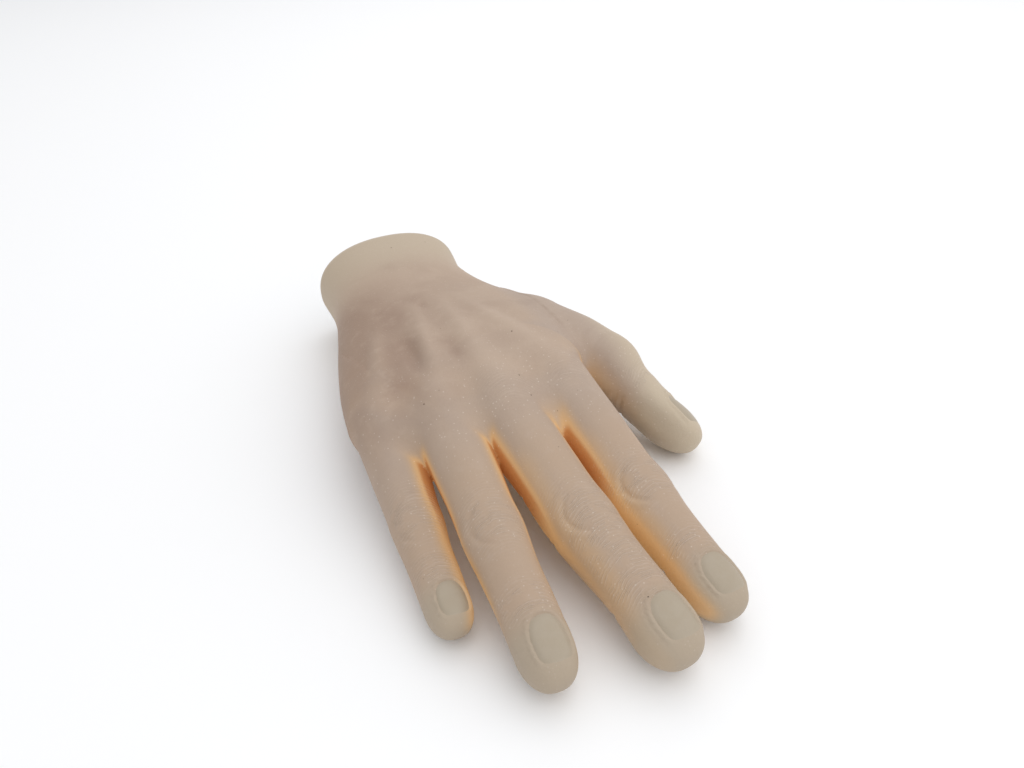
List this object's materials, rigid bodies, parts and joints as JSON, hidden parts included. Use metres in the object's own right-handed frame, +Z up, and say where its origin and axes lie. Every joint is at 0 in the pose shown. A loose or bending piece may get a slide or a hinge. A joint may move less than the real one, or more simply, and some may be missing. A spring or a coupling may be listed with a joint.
{
  "type": "prosthetic hand",
  "caption": "Right passive cosmetic prosthetic hand: silicone skin over a posable finger armature, with a threaded wrist mount.",
  "frame": {"origin": "centre of the wrist bush's mouth, on the plane of the silicone's rim", "axes": "+Z up with the palm facing down, fingers towards -Y, thumb towards +X; the hand rests on z = -0.020"},
  "size_m": [0.1107, 0.2109, 0.0408],
  "materials": {
    "skin_silicone": "matte",
    "nail_silicone": "satin",
    "armature_alloy": "satin",
    "core_foam": "matte",
    "wrist_nylon": "matte",
    "steel": "satin"
  },
  "bodies": {
    "palm": {"palm_skin": "skin_silicone", "palm_core_dorsal": "core_foam", "palm_core_palmar": "core_foam", "palm_plate": "armature_alloy", "plate_screws": "steel", "wrist_plate": "wrist_nylon", "wrist_bush": "steel", "wrist_screws": "steel", "knuckle_pins": "steel", "index_strut": "armature_alloy", "middle_strut": "armature_alloy", "ring_strut": "armature_alloy", "little_strut": "armature_alloy", "thumb_strut": "armature_alloy"},
    "index_proximal": {"index_proximal_skin": "skin_silicone", "index_proximal_link": "armature_alloy", "index_middle_pin": "steel"},
    "index_middle": {"index_middle_skin": "skin_silicone", "index_middle_link": "armature_alloy", "index_tip_pin": "steel"},
    "index_tip": {"index_tip_skin": "skin_silicone", "index_tip_link": "armature_alloy", "index_nail": "nail_silicone"},
    "middle_proximal": {"middle_proximal_skin": "skin_silicone", "middle_proximal_link": "armature_alloy", "middle_middle_pin": "steel"},
    "middle_middle": {"middle_middle_skin": "skin_silicone", "middle_middle_link": "armature_alloy", "middle_tip_pin": "steel"},
    "middle_tip": {"middle_tip_skin": "skin_silicone", "middle_tip_link": "armature_alloy", "middle_nail": "nail_silicone"},
    "ring_proximal": {"ring_proximal_skin": "skin_silicone", "ring_proximal_link": "armature_alloy", "ring_middle_pin": "steel"},
    "ring_middle": {"ring_middle_skin": "skin_silicone", "ring_middle_link": "armature_alloy", "ring_tip_pin": "steel"},
    "ring_tip": {"ring_tip_skin": "skin_silicone", "ring_tip_link": "armature_alloy", "ring_nail": "nail_silicone"},
    "little_proximal": {"little_proximal_skin": "skin_silicone", "little_proximal_link": "armature_alloy", "little_middle_pin": "steel"},
    "little_middle": {"little_middle_skin": "skin_silicone", "little_middle_link": "armature_alloy", "little_tip_pin": "steel"},
    "little_tip": {"little_tip_skin": "skin_silicone", "little_tip_link": "armature_alloy", "little_nail": "nail_silicone"},
    "thumb_proximal": {"thumb_proximal_skin": "skin_silicone", "thumb_proximal_link": "armature_alloy", "thumb_tip_pin": "steel"},
    "thumb_tip": {"thumb_tip_skin": "skin_silicone", "thumb_tip_link": "armature_alloy", "thumb_nail": "nail_silicone"}
  },
  "joints": [
    {"name": "index_knuckle", "type": "hinge", "parent": "palm", "child": "index_proximal", "pos_m": [0.02654, -0.14389, 0.00028], "axis": [0.9959, 0.0906, 0], "range_deg": [-10, 60]},
    {"name": "index_middle_hinge", "type": "hinge", "parent": "index_proximal", "child": "index_middle", "pos_m": [0.02787, -0.15854, -0.00353], "axis": [0.9959, 0.0906, 0], "range_deg": [-5, 75]},
    {"name": "index_tip_hinge", "type": "hinge", "parent": "index_middle", "child": "index_tip", "pos_m": [0.02997, -0.18161, -0.00803], "axis": [0.9959, 0.0906, 0], "range_deg": [-5, 45]},
    {"name": "middle_knuckle", "type": "hinge", "parent": "palm", "child": "middle_proximal", "pos_m": [0.00502, -0.14494, 0.00199], "axis": [0.9938, 0.1115, 0], "range_deg": [-10, 60]},
    {"name": "middle_middle_hinge", "type": "hinge", "parent": "middle_proximal", "child": "middle_middle", "pos_m": [0.00704, -0.16291, -0.00279], "axis": [0.9938, 0.1115, 0], "range_deg": [-5, 75]},
    {"name": "middle_tip_hinge", "type": "hinge", "parent": "middle_middle", "child": "middle_tip", "pos_m": [0.01, -0.18931, -0.007], "axis": [0.9938, 0.1115, 0], "range_deg": [-5, 45]},
    {"name": "ring_knuckle", "type": "hinge", "parent": "palm", "child": "ring_proximal", "pos_m": [-0.01651, -0.141, 0.00101], "axis": [0.9984, -0.0558, 0], "range_deg": [-10, 60]},
    {"name": "ring_middle_hinge", "type": "hinge", "parent": "ring_proximal", "child": "ring_middle", "pos_m": [-0.01735, -0.15608, -0.00248], "axis": [0.9984, -0.0558, 0], "range_deg": [-5, 75]},
    {"name": "ring_tip_hinge", "type": "hinge", "parent": "ring_middle", "child": "ring_tip", "pos_m": [-0.01878, -0.18155, -0.00698], "axis": [0.9984, -0.0558, 0], "range_deg": [-5, 45]},
    {"name": "little_knuckle", "type": "hinge", "parent": "palm", "child": "little_proximal", "pos_m": [-0.03342, -0.12992, -0.00546], "axis": [0.9982, -0.0593, 0], "range_deg": [-10, 60]},
    {"name": "little_middle_hinge", "type": "hinge", "parent": "little_proximal", "child": "little_middle", "pos_m": [-0.03398, -0.13939, -0.00795], "axis": [0.9982, -0.0593, 0], "range_deg": [-5, 75]},
    {"name": "little_tip_hinge", "type": "hinge", "parent": "little_middle", "child": "little_tip", "pos_m": [-0.03505, -0.1574, -0.01097], "axis": [0.9982, -0.0593, 0], "range_deg": [-5, 45]},
    {"name": "thumb_knuckle", "type": "hinge", "parent": "palm", "child": "thumb_proximal", "pos_m": [0.04914, -0.09871, 0.00157], "axis": [0.6246, 0.4687, -0.6247], "range_deg": [-10, 18]},
    {"name": "thumb_tip_hinge", "type": "hinge", "parent": "thumb_proximal", "child": "thumb_tip", "pos_m": [0.05431, -0.11372, -0.00453], "axis": [0.6257, 0.4437, -0.6416], "range_deg": [-10, 35]}
  ]
}
